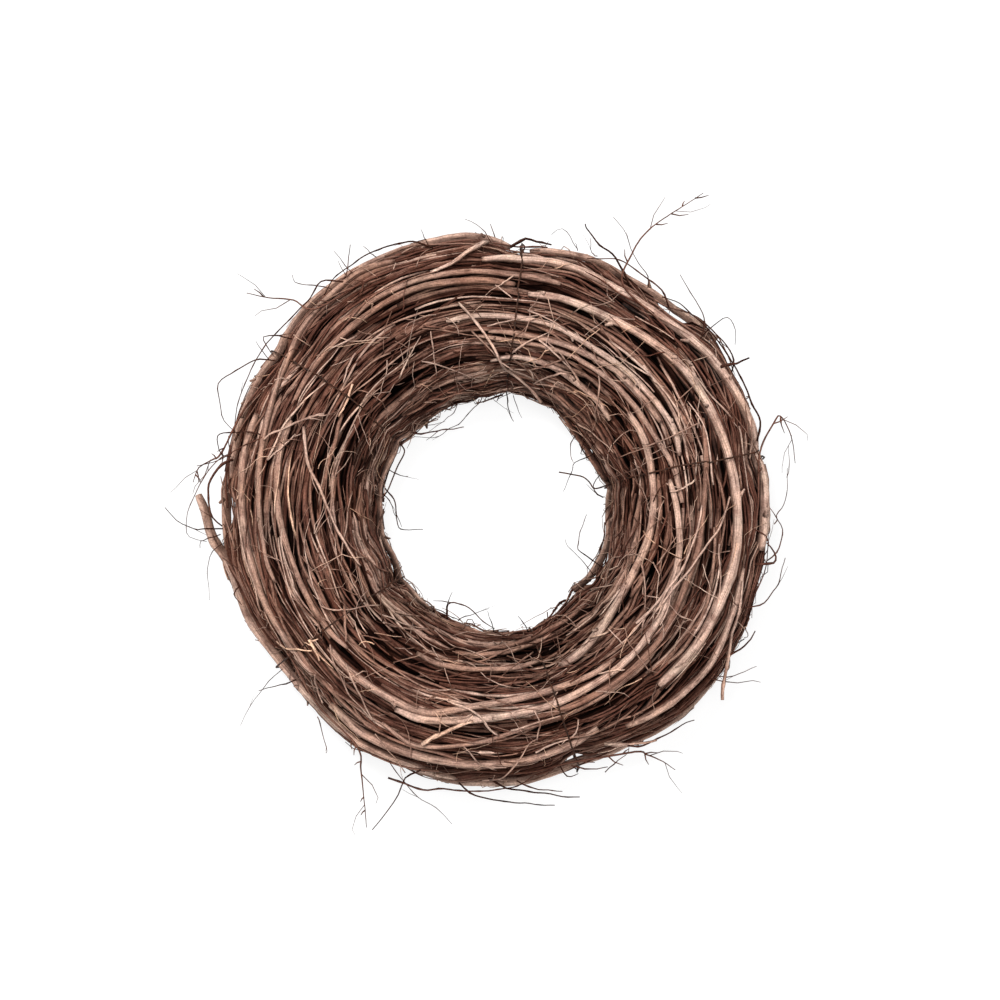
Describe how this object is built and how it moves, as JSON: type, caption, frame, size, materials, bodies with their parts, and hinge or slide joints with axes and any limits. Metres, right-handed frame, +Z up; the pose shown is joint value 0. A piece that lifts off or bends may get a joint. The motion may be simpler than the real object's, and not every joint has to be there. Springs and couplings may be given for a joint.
{
  "type": "twig wreath",
  "caption": "Round wreath of bent brown twigs and vine rods, bound with thin wire, with an open middle, that lies flat on a table.",
  "frame": {"origin": "on the surface that the wreath lies on, on the ring's axis", "axes": "+Z up along the ring's axis, +Y towards the top of the picture, +X towards its right"},
  "size_m": [0.4025, 0.4049, 0.0855],
  "materials": {
    "pale_bark": "dry pale tan bark, matte, finely streaked",
    "brown_bark": "dry brown bark, matte",
    "red_brown_bark": "thin dark red-brown twigs, matte with a faint sheen",
    "iron_wire": "dark annealed binding wire"
  },
  "bodies": {
    "root": {"slim_rod_01": "brown_bark", "slim_rod_02": "brown_bark", "slim_rod_03": "brown_bark", "slim_rod_04": "brown_bark", "slim_rod_05": "brown_bark", "slim_rod_06": "brown_bark", "slim_rod_07": "brown_bark", "slim_rod_08": "brown_bark", "slim_rod_09": "brown_bark", "slim_rod_10": "brown_bark", "slim_rod_11": "brown_bark", "slim_rod_12": "brown_bark", "slim_rod_13": "brown_bark", "slim_rod_15": "brown_bark", "slim_rod_16": "brown_bark", "slim_rod_17": "brown_bark", "slim_rod_18": "brown_bark", "slim_rod_19": "brown_bark", "slim_rod_20": "brown_bark", "slim_rod_21": "brown_bark", "stray_shoot_01": "red_brown_bark", "stray_shoot_02": "red_brown_bark", "stray_shoot_03": "red_brown_bark", "stray_shoot_04": "red_brown_bark", "stray_shoot_05": "red_brown_bark", "stray_shoot_06": "red_brown_bark", "thick_rod_01": "pale_bark", "thick_rod_02": "pale_bark", "thick_rod_03": "pale_bark", "thick_rod_04": "pale_bark", "thick_rod_05": "pale_bark", "thick_rod_06": "pale_bark", "thick_rod_07": "pale_bark", "thick_rod_08": "pale_bark", "thick_rod_09": "pale_bark", "thick_rod_10": "pale_bark", "thick_rod_11": "pale_bark", "thick_rod_13": "pale_bark", "twig_01": "red_brown_bark", "twig_03": "red_brown_bark", "twig_04": "red_brown_bark", "twig_bunch_01": "red_brown_bark", "twig_bunch_02": "red_brown_bark", "twig_bunch_03": "red_brown_bark", "twig_bunch_04": "red_brown_bark", "twig_bunch_05": "red_brown_bark", "twig_bunch_06": "red_brown_bark", "twig_bunch_07": "red_brown_bark", "twig_bunch_08": "red_brown_bark", "twig_bunch_09": "red_brown_bark", "twig_bunch_10": "red_brown_bark", "wire_tie_1": "iron_wire", "wire_tie_2": "iron_wire", "wire_tie_3": "iron_wire", "wire_tie_4": "iron_wire", "wire_tie_5": "iron_wire"}
  },
  "joints": []
}
